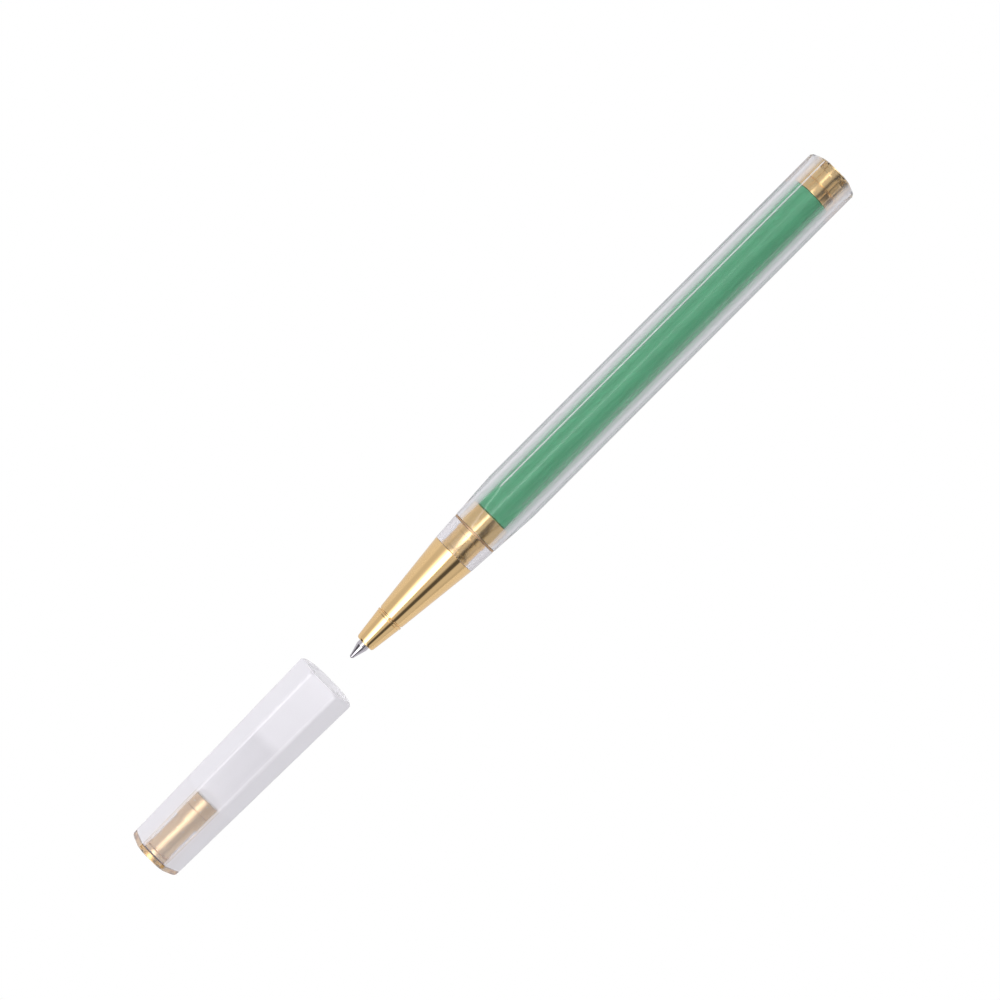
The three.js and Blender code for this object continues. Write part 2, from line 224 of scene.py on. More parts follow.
# ---------------------------------------------------------------- materials
PLASTIC_IOR = 1.49
SLANT_START = 0.2  # Facing, from 0 square on to 1 along the face, where handling haze starts
SLANT_FULL = 0.48
CORNER_PAINTED_HIGHLIGHT = 0.62  # painted highlight: how milky white the barrel's corners turn on the lit side
PAINTED_GLOW_DEPTH = 5.0 * MM  # how far into the cap the painted glow reaches
WALL_PAINTED_GLOW = 0.24  # strength of the painted glow, an emission that stands in for the light from all round that the cap's milky wall gives off into its mouth

# Places across a hexagon's flat, as distance from the axis over the flat's. A corner is at 1.155.
HAZE_END = 1.11  # where the barrel's handling haze has faded
# Where the barrel's corners turn milky white as a painted highlight.
PAINTED_HIGHLIGHT_START = 1.138
PAINTED_HIGHLIGHT_FULL = 1.142
CAP_MILKY_START = 1.1  # where the cap starts to turn milky towards its corners
CAP_MILKY_FULL = 1.135


def new_material(name):
    """A new material, its node tree and its Principled shader."""
    material = bpy.data.materials.new(name)
    material.use_nodes = True
    shader = material.node_tree.nodes["Principled BSDF"]
    return material, material.node_tree, shader


def noise(tree, stretch, detail=3.0):
    """Noise over the piece's own coordinates; stretch is cells per metre along X, Y and Z."""
    coords = tree.nodes.new("ShaderNodeTexCoord")
    mapping = tree.nodes.new("ShaderNodeMapping")
    mapping.inputs["Scale"].default_value = stretch
    texture = tree.nodes.new("ShaderNodeTexNoise")
    texture.inputs["Scale"].default_value = 1.0
    texture.inputs["Detail"].default_value = detail
    tree.links.new(coords.outputs["Object"], mapping.inputs["Vector"])
    tree.links.new(mapping.outputs["Vector"], texture.inputs["Vector"])
    return texture.outputs["Fac"]


def ramp(tree, value, start, end, first=0.0, last=1.0, easing="SMOOTHSTEP"):
    """An eased change from first to last as the value goes from start to end."""
    node = tree.nodes.new("ShaderNodeMapRange")
    node.interpolation_type = easing
    node.inputs["From Min"].default_value = start
    node.inputs["From Max"].default_value = end
    node.inputs["To Min"].default_value = first
    node.inputs["To Max"].default_value = last
    tree.links.new(value, node.inputs["Value"])
    return node.outputs["Result"]


def spread(tree, noise_value, lowest, highest):
    """A noise value, most of which lies round a half, spread between two numbers."""
    return ramp(tree, noise_value, 0.3, 0.7, lowest, highest, "LINEAR")


def without(tree, value):
    """What is left of one when the value is taken away."""
    return ramp(tree, value, 0, 1, 1, 0, "LINEAR")


def combine(tree, operation, values):
    """One number from several, by a chain of sums, products or quotients."""
    result = values[0]
    for value in values[1:]:
        node = tree.nodes.new("ShaderNodeMath")
        node.operation = operation
        tree.links.new(result, node.inputs[0])
        tree.links.new(value, node.inputs[1])
        result = node.outputs["Value"]
    return result


def two_tone(tree, value, first, second):
    """A colour that goes from the first to the second with the value."""
    node = tree.nodes.new("ShaderNodeMix")
    node.data_type = "RGBA"
    node.inputs["A"].default_value = (*first, 1)
    node.inputs["B"].default_value = (*second, 1)
    tree.links.new(value, node.inputs["Factor"])
    return node.outputs["Result"]


def bump(tree, shader, value, height):
    """Raises and lowers the surface with the value, by up to the height."""
    node = tree.nodes.new("ShaderNodeBump")
    node.inputs["Strength"].default_value = 1.0
    node.inputs["Distance"].default_value = height
    tree.links.new(value, node.inputs["Height"])
    tree.links.new(node.outputs["Normal"], shader.inputs["Normal"])


def turned_metal(name, light, dark, smooth, rough, line_height):
    """Lathe-turned metal: fine lines round the axis and a slow change of tone."""
    material, tree, shader = new_material(name)
    shader.inputs["Metallic"].default_value = 1.0
    fine_along = (9000, 150, 150)
    lines = noise(tree, fine_along, detail=4.0)
    tone = noise(tree, (260, 260, 260))
    tree.links.new(two_tone(tree, tone, light, dark), shader.inputs["Base Color"])
    tree.links.new(spread(tree, lines, smooth, rough), shader.inputs["Roughness"])
    bump(tree, shader, lines, line_height)
    return material


def by_side(tree, outside, within):
    """One value where light meets the face from outside the piece, another from within it."""
    geometry = tree.nodes.new("ShaderNodeNewGeometry")
    return ramp(tree, geometry.outputs["Backfacing"], 0, 1, outside, within, "LINEAR")


def slant_haze(tree, most):
    """Haze that is seen from outside on a slanting face, and not square on or from within."""
    weight = tree.nodes.new("ShaderNodeLayerWeight")
    weight.inputs["Blend"].default_value = 0.5
    slant = ramp(tree, weight.outputs["Facing"], SLANT_START, SLANT_FULL, 0, most)
    return combine(tree, "MULTIPLY", [slant, by_side(tree, 1, 0)])


def own_radius(tree):
    """Distance from the pen's axis, in the piece's own coordinates."""
    coords = tree.nodes.new("ShaderNodeTexCoord")
    centred = tree.nodes.new("ShaderNodeVectorMath")
    centred.operation = "SUBTRACT"
    centred.inputs[1].default_value = (0, 0, axis_z)
    across = tree.nodes.new("ShaderNodeVectorMath")
    across.operation = "MULTIPLY"
    across.inputs[1].default_value = (0, 1, 1)
    length = tree.nodes.new("ShaderNodeVectorMath")
    length.operation = "LENGTH"
    tree.links.new(coords.outputs["Object"], centred.inputs[0])
    tree.links.new(centred.outputs["Vector"], across.inputs[0])
    tree.links.new(across.outputs["Vector"], length.inputs[0])
    return length.outputs["Value"]


def own_place(tree, axis):
    """Place along the X, Y or Z axis, in the piece's own coordinates."""
    coords = tree.nodes.new("ShaderNodeTexCoord")
    parts = tree.nodes.new("ShaderNodeSeparateXYZ")
    tree.links.new(coords.outputs["Object"], parts.inputs["Vector"])
    return parts.outputs[axis]


def new_plastic(name, tint):
    """A new material with the refraction that all the clear and milky plastics share."""
    material, tree, shader = new_material(name)
    shader.inputs["Base Color"].default_value = (*tint, 1)
    shader.inputs["IOR"].default_value = PLASTIC_IOR
    return material, tree, shader


def cloudy_roughness(tree, shader, smooth, rough):
    """Roughness in soft clouds under a millimetre across."""
    cloud = noise(tree, (1400, 1400, 1400), detail=4.0)
    tree.links.new(spread(tree, cloud, smooth, rough), shader.inputs["Roughness"])


def clear_plastic(name, tint, haze, smooth, rough, flat=None):
    """Polished clear plastic. Its handling haze shows at a slant.

    flat is given for a hexagon: its haze stays away from the corners, which carry a painted highlight, milky
    white mostly on the lit +Y side.
    """
    material, tree, shader = new_plastic(name, tint)
    dull = slant_haze(tree, haze)
    if flat:
        reach = own_radius(tree)
        mid_flat = ramp(tree, reach, flat, HAZE_END * flat, 1, 0.1)
        # Painted highlight: the outside of the corners turns milky white, mostly on the +Y side that faces
        # the soft box, in place of its reflection.
        corner = ramp(tree, reach, PAINTED_HIGHLIGHT_START * flat, PAINTED_HIGHLIGHT_FULL * flat, 0, CORNER_PAINTED_HIGHLIGHT)
        lit_side = ramp(tree, own_place(tree, "Y"), -1.0 * MM, 1.0 * MM, 0.1, 1)
        dull = combine(tree, "ADD", [
            combine(tree, "MULTIPLY", [dull, mid_flat]),
            combine(tree, "MULTIPLY", [corner, lit_side, by_side(tree, 1, 0)])])
    tree.links.new(without(tree, dull), shader.inputs["Transmission Weight"])
    scuff = noise(tree, (900, 2600, 2600), detail=5.0)
    tree.links.new(spread(tree, scuff, smooth, rough), shader.inputs["Roughness"])
    return material


def frosted_plastic(name, tint, clear, smooth, rough):
    """The cap's outside: clear over the socket, milky past it and at corners, whitest at the mouth."""
    material, tree, shader = new_plastic(name, tint)
    x = own_place(tree, "X")
    flat = ramp(tree, x, cap_end_x, cap_mouth_x, CAP_END_FLAT, CAP_MOUTH_FLAT, "LINEAR")
    from_middle = combine(tree, "DIVIDE", [own_radius(tree), flat])
    towards_corner = ramp(tree, from_middle, CAP_MILKY_START, CAP_MILKY_FULL, 1, 0.4)
    past_socket = ramp(tree, x, SOCKET_MOUTH_X - 0.3 * MM, SOCKET_MOUTH_X + 0.7 * MM, clear, 0.4)
    at_hex_bore = ramp(tree, x, HEX_BORE_X - 1.0 * MM, HEX_BORE_X + 2.0 * MM, 1, 0.6)
    at_slant = without(tree, slant_haze(tree, 0.93))
    clearness = combine(tree, "MULTIPLY", [towards_corner, past_socket, at_hex_bore, at_slant])
    tree.links.new(clearness, shader.inputs["Transmission Weight"])
    cloudy_roughness(tree, shader, smooth, rough)
    return material


def milky_plastic(name, tint, clear, smooth, rough, grain):
    """Translucent plastic: part clear, part milky, with a fine moulded grain."""
    material, tree, shader = new_plastic(name, tint)
    shader.inputs["Transmission Weight"].default_value = clear
    cloudy_roughness(tree, shader, smooth, rough)
    fine = noise(tree, (grain, grain, grain), detail=2.0)
    bump(tree, shader, fine, 0.002 * MM)
    return material


def drilled_milky_plastic_painted_glow(name, tint, clear, smooth, rough):
    """A drilled wall of milky plastic that scatters light beneath its surface. Near the mouth it has a
    painted glow: an emission that stands in for the light scattered in the wall.
    """
    material, tree, shader = new_plastic(name, tint)
    shader.inputs["Subsurface Weight"].default_value = 1.0
    shader.inputs["Subsurface Radius"].default_value = (1, 1, 1)
    shader.inputs["Subsurface Scale"].default_value = 1.5 * MM
    shader.inputs["Emission Color"].default_value = (0.97, 0.96, 1.0, 1)
    tree.links.new(by_side(tree, clear, 1), shader.inputs["Transmission Weight"])
    # Painted glow: the wall emits light where it is met from the cavity, fading out this far from the mouth.
    near_mouth = ramp(tree, own_place(tree, "X"), cap_mouth_x - PAINTED_GLOW_DEPTH, cap_mouth_x)
    painted_glow = combine(tree, "MULTIPLY", [near_mouth, by_side(tree, WALL_PAINTED_GLOW, 0)])
    tree.links.new(painted_glow, shader.inputs["Emission Strength"])
    cloudy_roughness(tree, shader, smooth, rough)
    return material


def moulded_plastic(name, light, dark, smooth, rough, grain):
    """Opaque moulded plastic with fine grain and faint draw lines along the piece."""
    material, tree, shader = new_material(name)
    tone = noise(tree, (120, 1100, 1100), detail=3.0)
    tree.links.new(two_tone(tree, tone, light, dark), shader.inputs["Base Color"])
    tree.links.new(spread(tree, tone, smooth, rough), shader.inputs["Roughness"])
    fine = noise(tree, (grain, grain, grain), detail=2.0)
    bump(tree, shader, fine, 0.003 * MM)
    return material


BRASS = turned_metal("brass_polished", (0.94, 0.665, 0.335), (0.92, 0.635, 0.305), 0.07, 0.12, 0.0006 * MM)
SATIN_BRASS = turned_metal("brass_satin", (1.0, 0.72, 0.34), (0.97, 0.68, 0.31), 0.2, 0.26, 0.0006 * MM)
SOCKET_BRASS = turned_metal("brass_blasted", (0.95, 0.68, 0.36), (0.92, 0.64, 0.33), 0.36, 0.44, 0.0006 * MM)
# Darker, more orange brass for the end disc's rim.
RIM_BRASS = turned_metal("brass_rim", (0.86, 0.55, 0.22), (0.78, 0.48, 0.18), 0.2, 0.28, 0.0006 * MM)
# Painted shade: dark brown brass for the insert's flange rim, where the slot between the grip ring and the
# barrel lies in shade.
PAINTED_SHADE_BRASS = turned_metal("brass_painted_shade", (0.62, 0.42, 0.26), (0.52, 0.34, 0.2), 0.4, 0.5, 0.001 * MM)
STEEL = turned_metal("steel_turned", (0.62, 0.59, 0.63), (0.56, 0.53, 0.57), 0.12, 0.2, 0.001 * MM)
CARBIDE = turned_metal("carbide_ground", (0.5, 0.5, 0.53), (0.42, 0.42, 0.45), 0.1, 0.2, 0.0005 * MM)
ACRYLIC = clear_plastic("acrylic_clear", (0.87, 0.875, 0.895), 0.6, 0.01, 0.03, BARREL_FLAT)
ACRYLIC_RING = clear_plastic("acrylic_ring", (0.86, 0.84, 0.86), 0.75, 0.02, 0.05)
ACRYLIC_BORE = clear_plastic("acrylic_drilled", (0.985, 0.985, 0.995), 0, 0.05, 0.08)
CAP_OUTER = frosted_plastic("cap_polished", (0.92, 0.91, 0.94), 0.9, 0.04, 0.08)
CAP_BORE = clear_plastic("cap_drilled", (0.98, 0.975, 0.995), 0, 0.2, 0.28)
CAP_MOUTH_PAINTED_GLOW = drilled_milky_plastic_painted_glow("cap_mouth_painted_glow", (0.985, 0.98, 0.995), 0.3, 0.5, 0.6)
CAP_END = clear_plastic("cap_end_clear", (0.97, 0.96, 0.98), 0.3, 0.03, 0.06)
GREEN = moulded_plastic("green_plastic", (0.125, 0.61, 0.295), (0.115, 0.59, 0.28), 0.36, 0.44, 6000)
WHITE = moulded_plastic("white_plastic", (0.82, 0.81, 0.78), (0.78, 0.77, 0.74), 0.4, 0.5, 6000)
SILICONE = moulded_plastic("silicone_pad", (0.62, 0.64, 0.66), (0.56, 0.58, 0.6), 0.6, 0.75, 4000)
TUBE = milky_plastic("tube_plastic", (0.93, 0.95, 0.95), 0.75, 0.25, 0.35, 5000)
INK = moulded_plastic("gel_ink", (0.012, 0.12, 0.065), (0.01, 0.1, 0.055), 0.15, 0.25, 2000)
GREASE = milky_plastic("follower_grease", (0.9, 0.82, 0.6), 0.8, 0.1, 0.2, 2500)


# ---------------------------------------------------------------- pieces
def place(piece, node, body, slot, *materials):
    """Gives a piece its materials, hangs it on the body it rides on and hides the node it stands for."""
    for material in materials:
        piece.data.materials.append(material)
    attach(piece, body)
    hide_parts(node)
    return piece


def use_material(piece, index, wanted):
    """Gives one of its materials to every face whose middle, as (x, r), is wanted."""
    for face in piece.data.polygons:
        middle = face.center
        if wanted(middle.x, math.hypot(middle.y, middle.z - axis_z)):
            face.material_index = index


def make_barrel_shell():
    """The clear barrel: hexagon and taper meet in soft scallops."""
    angles = hex_angles(BARREL_FLAT, BARREL_FILLET)
    hexagon = hex_radii(angles, BARREL_FLAT, BARREL_FILLET)
    front, back = low("barrel_shell"), high("barrel_shell")
    front_edge = 0.08 * MM
    back_edge = 0.2 * MM
    softness = 0.09 * MM

    def outer(x, inset):
        """The outside at a place, with its corners turned down at the tail."""
        limit = BARREL_FLAT + CORNER_LEFT + back - x
        tapered = [soft_min(r, taper_radius(x), softness) for r in hexagon]
        return points_round(x, [soft_min(r, limit, softness) - inset for r in tapered], angles)

    rings = []
    for x, inset in ((front, front_edge), (front + 0.02 * MM, 0.03 * MM), (front + front_edge, 0)):
        rings.append(outer(x, inset))
    taper_end = nib_x + 48 * MM
    taper_steps = 64
    for i in range(1, taper_steps + 1):
        rings.append(outer(front + front_edge + (taper_end - front) * i / taper_steps, 0))
    long_start = taper_end + 0.3 * MM
    long_length = back - back_edge - taper_end - 1.5 * MM
    long_steps = 12
    for i in range(1, long_steps + 1):
        rings.append(outer(long_start + long_length * i / long_steps, 0))
    for i in range(CORNER_STEPS, 0, -1):
        rings.append(outer(back - back_edge * i, 0))
    for turn in QUARTER[1:]:
        x = back - back_edge + back_edge * math.sin(turn)
        rings.append(outer(x, back_edge * (1 - math.cos(turn))))
    rim_front = high("tail_plug") - 1.7 * MM
    bore_edge = 0.08 * MM
    for x, r in (
        (back, RIM_BORE + bore_edge), (back - bore_edge, RIM_BORE),
        (rim_front, RIM_BORE), (rim_front, BARREL_BORE),
        (back - 40 * MM, BARREL_BORE), (back - 70 * MM, BARREL_BORE),
        (front + bore_edge, BARREL_BORE), (front, BARREL_BORE + bore_edge),
    ):
        rings.append(circle(x, r, angles))
    piece = loft("clear_barrel", rings, closed=True)
    place(piece, "barrel_shell", "barrel", "clear_acrylic", ACRYLIC, ACRYLIC_BORE)
    use_material(piece, 1, lambda x, r: r < BARREL_BORE + bore_edge / 2)


def make_colour_sleeve():
    """The green tube inside the barrel."""
    front, back = low("colour_sleeve"), high("colour_sleeve")
    r = radius("colour_sleeve")
    wall = 0.82 * MM
    bore = r - wall
    edge = 0.12 * MM
    piece = turned("green_sleeve", [
        (front, bore, edge), (front, r, edge), (back, r, edge), (back, bore, edge)])
    place(piece, "colour_sleeve", "barrel", "green_plastic", GREEN)


def make_barrel_insert():
    """The brass insert: a thin flange as wide as the barrel and a threaded sleeve behind it."""
    front, back = low("barrel_insert"), high("barrel_insert")
    flange_back = front + 0.4 * MM
    r = radius("barrel_insert")
    sleeve = 4.5 * MM
    thread = 3.2 * MM
    chamfer = 0.25 * MM
    fine = 0.05 * MM
    piece = turned("insert_ring", [
        (front, thread, fine), (front, r - 0.06 * MM, fine), (flange_back, r - 0.04 * MM, fine),
        (flange_back, sleeve, 0), (back - chamfer, sleeve, fine),
        (back, sleeve - chamfer, fine), (back, thread, fine)])
    place(piece, "barrel_insert", "barrel", "brass", SATIN_BRASS, PAINTED_SHADE_BRASS)
    # The flange's rim takes the painted shade, dark brown for the slot between grip ring and barrel.
    use_material(piece, 1, lambda x, r: x < flange_back + fine and r > sleeve + fine)


def make_tail_plug():
    """The stepped plug flush with the tail: a groove round it and a cup for the spring."""
    front, back = low("tail_plug"), high("tail_plug")
    rim = radius("tail_plug")
    body = 4.5 * MM
    cup = 2.5 * MM
    cup_bottom = front + 3.5 * MM
    groove = front + 2.1 * MM
    groove_r = body - 0.3 * MM
    groove_edge = 0.02 * MM
    shoulder = back - 1.68 * MM
    chamfer = 0.15 * MM
    fine = 0.06 * MM
    piece = turned("tail_plug_turned", [
        (cup_bottom, 0, 0), (cup_bottom, cup, fine), (front, cup, fine), (front, body, 2 * fine),
        (groove, body, fine), (groove + 0.05 * MM, groove_r, groove_edge),
        (groove + 0.35 * MM, groove_r, groove_edge), (groove + 0.4 * MM, body, fine),
        (shoulder, body, fine), (shoulder, rim, fine),
        (back - chamfer, rim, fine), (back, rim - chamfer, fine), (back, 0, 0)])
    place(piece, "tail_plug", "barrel", "brass", SATIN_BRASS)


def make_buffer_spring():
    """A coil of round wire with closed ends."""
    front, back = low("buffer_spring"), high("buffer_spring")
    wire = 0.2 * MM
    coil = radius("buffer_spring") - wire
    turns = 7
    steps = 36 * turns
    closing = 0.35  # how much closer the coils lie at the ends
    curve = bpy.data.curves.new("spring_coil", "CURVE")
    curve.dimensions = "3D"
    curve.bevel_depth = wire
    curve.bevel_resolution = 4
    curve.use_fill_caps = True
    spline = curve.splines.new("POLY")
    spline.points.add(steps)
    for i, point in enumerate(spline.points):
        t = i / steps
        eased = t - math.sin(2 * math.pi * t) / (2 * math.pi) * closing
        x = front + wire + (back - front - 2 * wire) * eased
        a = 2 * math.pi * turns * t
        point.co = (x, coil * math.cos(a), axis_z + coil * math.sin(a), 1)
    piece = bpy.data.objects.new("spring_coil", curve)
    bpy.context.scene.collection.objects.link(piece)
    place(piece, "buffer_spring", "barrel", "steel", STEEL)


def make_nose_piece():
    """The slim brass nose, with a fine groove and a small lip at its rear."""
    front, back = low("nose_piece"), high("nose_piece")
    lip_end = nib_x + 11.2 * MM
    lip = radius("nose_piece")
    groove = 2.87 * MM
    spigot = 2.35 * MM
    bore = 1.8 * MM
    bore_start = nib_x + 4.9 * MM
    nib_hole = 1.35 * MM
    fine = 0.04 * MM
    piece = turned("brass_nose", [
        (front, nib_hole, fine), (front, 1.95 * MM, 0.1 * MM), (front + 0.32 * MM, 2.12 * MM, 0.25 * MM),
        (lip_end - 0.62 * MM, 2.94 * MM, fine), (lip_end - 0.56 * MM, groove, fine),
        (lip_end - 0.44 * MM, groove, fine), (lip_end - 0.4 * MM, lip, fine), (lip_end, lip, 2 * fine),
        (lip_end, spigot, 0), (back, spigot, fine), (back, bore, fine),
        (bore_start, bore, 0), (bore_start, nib_hole, 0)])
    place(piece, "nose_piece", "section", "brass", BRASS)


def make_section_cone():
    """The long brass cone: the nose's spigot sits in its front and the neck in its rear."""
    front, back = low("section_cone"), high("section_cone")
    rear = radius("section_cone")
    groove = 2.8 * MM
    spigot_seat = 2.4 * MM
    spigot_seat_end = nib_x + 14.7 * MM
    bore = 2.8 * MM
    neck_seat = 3.15 * MM
    neck_seat_start = nib_x + 21.9 * MM
    fine = 0.05 * MM
    piece = turned("brass_cone", [
        (front, spigot_seat, 0), (front, groove, 0), (front + 0.2 * MM, groove, 0.02 * MM),
        (front + 0.28 * MM, 3.0 * MM, fine), (back, rear, 1.5 * fine), (back, neck_seat, fine),
        (neck_seat_start, neck_seat, 0), (neck_seat_start, bore, 0),
        (spigot_seat_end, bore, 0), (spigot_seat_end, spigot_seat, 0)])
    place(piece, "section_cone", "section", "brass", BRASS)


def make_section_neck():
    """The neck with its two collars and a real thread profile at its rear."""
    front, back = low("section_neck"), high("section_neck")
    collar = radius("section_neck")
    neck = 3.1 * MM
    waist = collar - 0.15 * MM
    bore = 2.35 * MM
    fine = 0.06 * MM
    ring_front, ring_back = low("grip_ring"), high("grip_ring")
    waist_front = ring_front + 0.95 * MM
    waist_back = ring_back - 1.25 * MM
    outline = [
        (front, bore, fine), (front, neck, fine),
        (ring_front, neck, 0), (ring_front, collar, fine),
        (waist_front, collar, fine), (waist_front, waist, fine),
        (waist_back, waist, fine), (waist_back, collar, fine),
        (ring_back, collar, fine), (ring_back, neck - 0.2 * MM, 0)]
    pitch = 0.75 * MM
    depth = 0.3 * MM
    crest = ring_back + 0.45 * MM
    while crest + pitch < back:
        outline += [(crest - 0.22 * MM, neck - depth, 0.03 * MM), (crest, neck, 0.05 * MM)]
        crest += pitch
    outline += [(back - 0.2 * MM, neck - depth, fine), (back, neck - 2 * depth, fine), (back, bore, fine)]
    piece = turned("threaded_neck", outline)
    place(piece, "section_neck", "section", "brass", SATIN_BRASS)


def make_grip_ring():
    """The clear ring over the neck, where the barrel's taper starts."""
    front, back = low("grip_ring"), high("grip_ring")
    bore = radius("section_neck") + 0.05 * MM
    edge = 0.07 * MM
    piece = turned("clear_ring", [
        (front, bore, edge), (front, RING_FRONT_R, edge),
        (back, taper_radius(back), edge), (back, bore, edge)], sides=240)
    place(piece, "grip_ring", "section", "clear_acrylic", ACRYLIC_RING, ACRYLIC_BORE)
    use_material(piece, 1, lambda x, r: r < bore + edge / 2)


def make_writing_ball():
    """The ball that the ink rolls out on."""
    r = radius("writing_ball")
    rows = 24
    outline = [(nib_x, 0, 0)]
    for i in range(1, rows):
        a = math.pi * i / rows
        outline.append((nib_x + r - r * math.cos(a), r * math.sin(a), 0))
    outline.append((nib_x + 2 * r, 0, 0))
    piece = turned("carbide_ball", outline, sides=48)
    place(piece, "writing_ball", "ball", "carbide", CARBIDE)


def make_nib_tip():
    """The steel nib: a cone whose lip keeps the ball in its cup, then a straight shank."""
    back = high("nib_tip")
    shank = radius("nib_tip")
    lip_x = nib_x + 0.2 * MM
    cup = 0.365 * MM
    ink_hole = 0.16 * MM
    bore = 0.85 * MM
    fine = 0.03 * MM
    piece = turned("steel_nib", [
        (lip_x, 0.335 * MM, 0), (lip_x, 0.4 * MM, fine),
        (nib_x + 0.55 * MM, 0.52 * MM, fine), (nib_x + 0.62 * MM, 0.5 * MM, fine),
        (nib_x + 3.15 * MM, shank, 0.15 * MM), (back, shank, fine), (back, bore, 0),
        (nib_x + 4.0 * MM, bore, 0), (nib_x + 3.4 * MM, ink_hole, 0),
        (nib_x + 0.84 * MM, ink_hole, 0), (nib_x + 0.7 * MM, cup, 0),
        (nib_x + 0.35 * MM, cup, 0)], sides=96)
    place(piece, "nib_tip", "refill", "steel", STEEL)


def make_tip_holder():
    """The plastic holder between the nib and the ink tube."""
    front, back = low("tip_holder"), high("tip_holder")
    sleeve = 1.7 * MM
    shank_hole = 1.3 * MM
    shank_end = high("nib_tip") + 0.05 * MM
    flange = radius("tip_holder")
    flange_front = nib_x + 14.65 * MM
    flange_back = nib_x + 16 * MM
    spigot = 1.45 * MM
    bore = 0.9 * MM
    edge = 0.1 * MM
    fine = 0.03 * MM
    piece = turned("nib_holder", [
        (front, shank_hole, 0), (front, sleeve, edge), (flange_front, sleeve, 0),
        (flange_front, flange, edge), (flange_back, flange, edge), (flange_back, spigot, 0),
        (back, spigot, edge), (back, bore, fine), (shank_end, bore, 0), (shank_end, shank_hole, 0)])
    place(piece, "tip_holder", "refill", "white_plastic", WHITE)


def make_refill_tube():
    """The slim tube that holds the ink."""
    front, back = low("refill_tube"), high("refill_tube")
    r = radius("refill_tube")
    bore = 1.5 * MM
    piece = turned("ink_tube", [
        (front, bore, REFILL_EDGE), (front, r, REFILL_EDGE),
        (back, r, REFILL_EDGE), (back, bore, REFILL_EDGE)])
    place(piece, "refill_tube", "refill", "tube_plastic", TUBE)


def hollow_rear(back):
    """The last points of the outline of the ink or the grease, whose rear end is hollow."""
    return [
        (back, FILL_R, REFILL_EDGE),
        (back - MENISCUS, 0.6 * FILL_R, MENISCUS),
        (back - MENISCUS, 0, 0)]


def make_ink_column():
    """The ink that fills the tube."""
    front = low("ink_column")
    piece = turned("ink_fill", [
        (front, 0, 0), (front, FILL_R, REFILL_EDGE), *hollow_rear(high("ink_column"))])
    place(piece, "ink_column", "refill", "ink", INK)


def make_ink_follower():
    """The grease behind the ink. Its front bulges into the hollow at the ink's end."""
    front = low("ink_follower")
    bulge = 0.9 * MENISCUS
    piece = turned("follower_plug", [
        (front - bulge, 0, 0), (front - bulge, 0.55 * FILL_R, MENISCUS),
        (front, FILL_R, REFILL_EDGE), *hollow_rear(high("ink_follower"))])
    place(piece, "ink_follower", "refill", "grease", GREASE)


def make_refill_plug():
    """The vented plug in the tube's rear end."""
    front, back = low("refill_plug"), high("refill_plug")
    head = radius("refill_plug")
    head_front = high("refill_tube") + 0.05 * MM
    vent = 0.4 * MM
    piece = turned("vented_plug", [
        (front, vent, REFILL_EDGE), (front, FILL_R, REFILL_EDGE), (head_front, FILL_R, 0),
        (head_front, head, REFILL_EDGE), (back, head, 2 * REFILL_EDGE), (back, vent, REFILL_EDGE)])
    place(piece, "refill_plug", "refill", "tube_plastic", TUBE)


def cap_outside(angles):
    """Rings of the drafted hexagon from the closed end to the mouth, with rounded edges at both."""
    length = cap_mouth_x - cap_end_x
    edge = 0.25 * MM
    softness = 0.2 * MM

    def outer(x, inset):
        """The outside at a place, with its corners turned down at both ends."""
        flat = CAP_END_FLAT + (CAP_MOUTH_FLAT - CAP_END_FLAT) * (x - cap_end_x) / length
        limit = flat + CORNER_LEFT + min(x - cap_end_x, cap_mouth_x - x)
        hexagon = hex_radii(angles, flat, CAP_FILLET)
        return points_round(x, [soft_min(r, limit, softness) - inset for r in hexagon], angles)

    rings = []
    for turn in QUARTER:
        rings.append(outer(cap_end_x + edge * (1 - math.cos(turn)), edge * (1 - math.sin(turn))))
    close_steps = 6
    for i in range(1, close_steps + 1):
        rings.append(outer(cap_end_x + edge + edge * i, 0))
    long_steps = 20
    long_length = length - 2 * (close_steps + 1) * edge
    for i in range(1, long_steps):
        rings.append(outer(cap_end_x + edge * (close_steps + 1) + long_length * i / long_steps, 0))
    for i in range(close_steps, -1, -1):
        rings.append(outer(cap_mouth_x - edge - edge * i, 0))
    for turn in QUARTER[1:]:
        rings.append(outer(cap_mouth_x - edge * (1 - math.sin(turn)), edge * (1 - math.cos(turn))))
    return rings


def cap_inside(angles):
    """Rings of the bore from the mouth to the end disc's seat: six-sided, a cone, then straight."""
    edge = 0.15 * MM
    hexagon = hex_radii(angles, HEX_BORE_FLAT, HEX_BORE_FILLET)
    mouth = hex_radii(angles, HEX_BORE_FLAT + edge, HEX_BORE_FILLET)
    rings = [points_round(cap_mouth_x, mouth, angles)]
    hex_steps = 8
    hex_length = cap_mouth_x - edge - (HEX_BORE_X + HEX_BLEND)
    for i in range(hex_steps + 1):
        rings.append(points_round(cap_mouth_x - edge - hex_length * i / hex_steps, hexagon, angles))
    blend_steps = 8
    for i in range(1, blend_steps + 1):
        t = i / blend_steps
        eased = t * t * (3 - 2 * t)
        radii = [r + (BORE_AT_HEX_R - r) * eased for r in hexagon]
        rings.append(points_round(HEX_BORE_X + HEX_BLEND * (1 - t), radii, angles))
    cone_steps = 10
    for i in range(1, cone_steps + 1):
        t = i / cone_steps
        x = HEX_BORE_X + (SOCKET_MOUTH_X - HEX_BORE_X) * t
        rings.append(circle(x, BORE_AT_HEX_R + (CAP_BORE_R - BORE_AT_HEX_R) * t, angles))
    seat_back = cap_end_x + 1.05 * MM
    press_fit = 0.02 * MM  # the disc is pressed in, with no air round it
    seat = radius("cap_end_disc") - press_fit
    seat_edge = 0.05 * MM
    for x, r in (
        (seat_back + 7 * MM, CAP_BORE_R), (seat_back, CAP_BORE_R),
        (seat_back, seat), (cap_end_x + seat_edge, seat), (cap_end_x, seat + seat_edge),
    ):
        rings.append(circle(x, r, angles))
    return rings


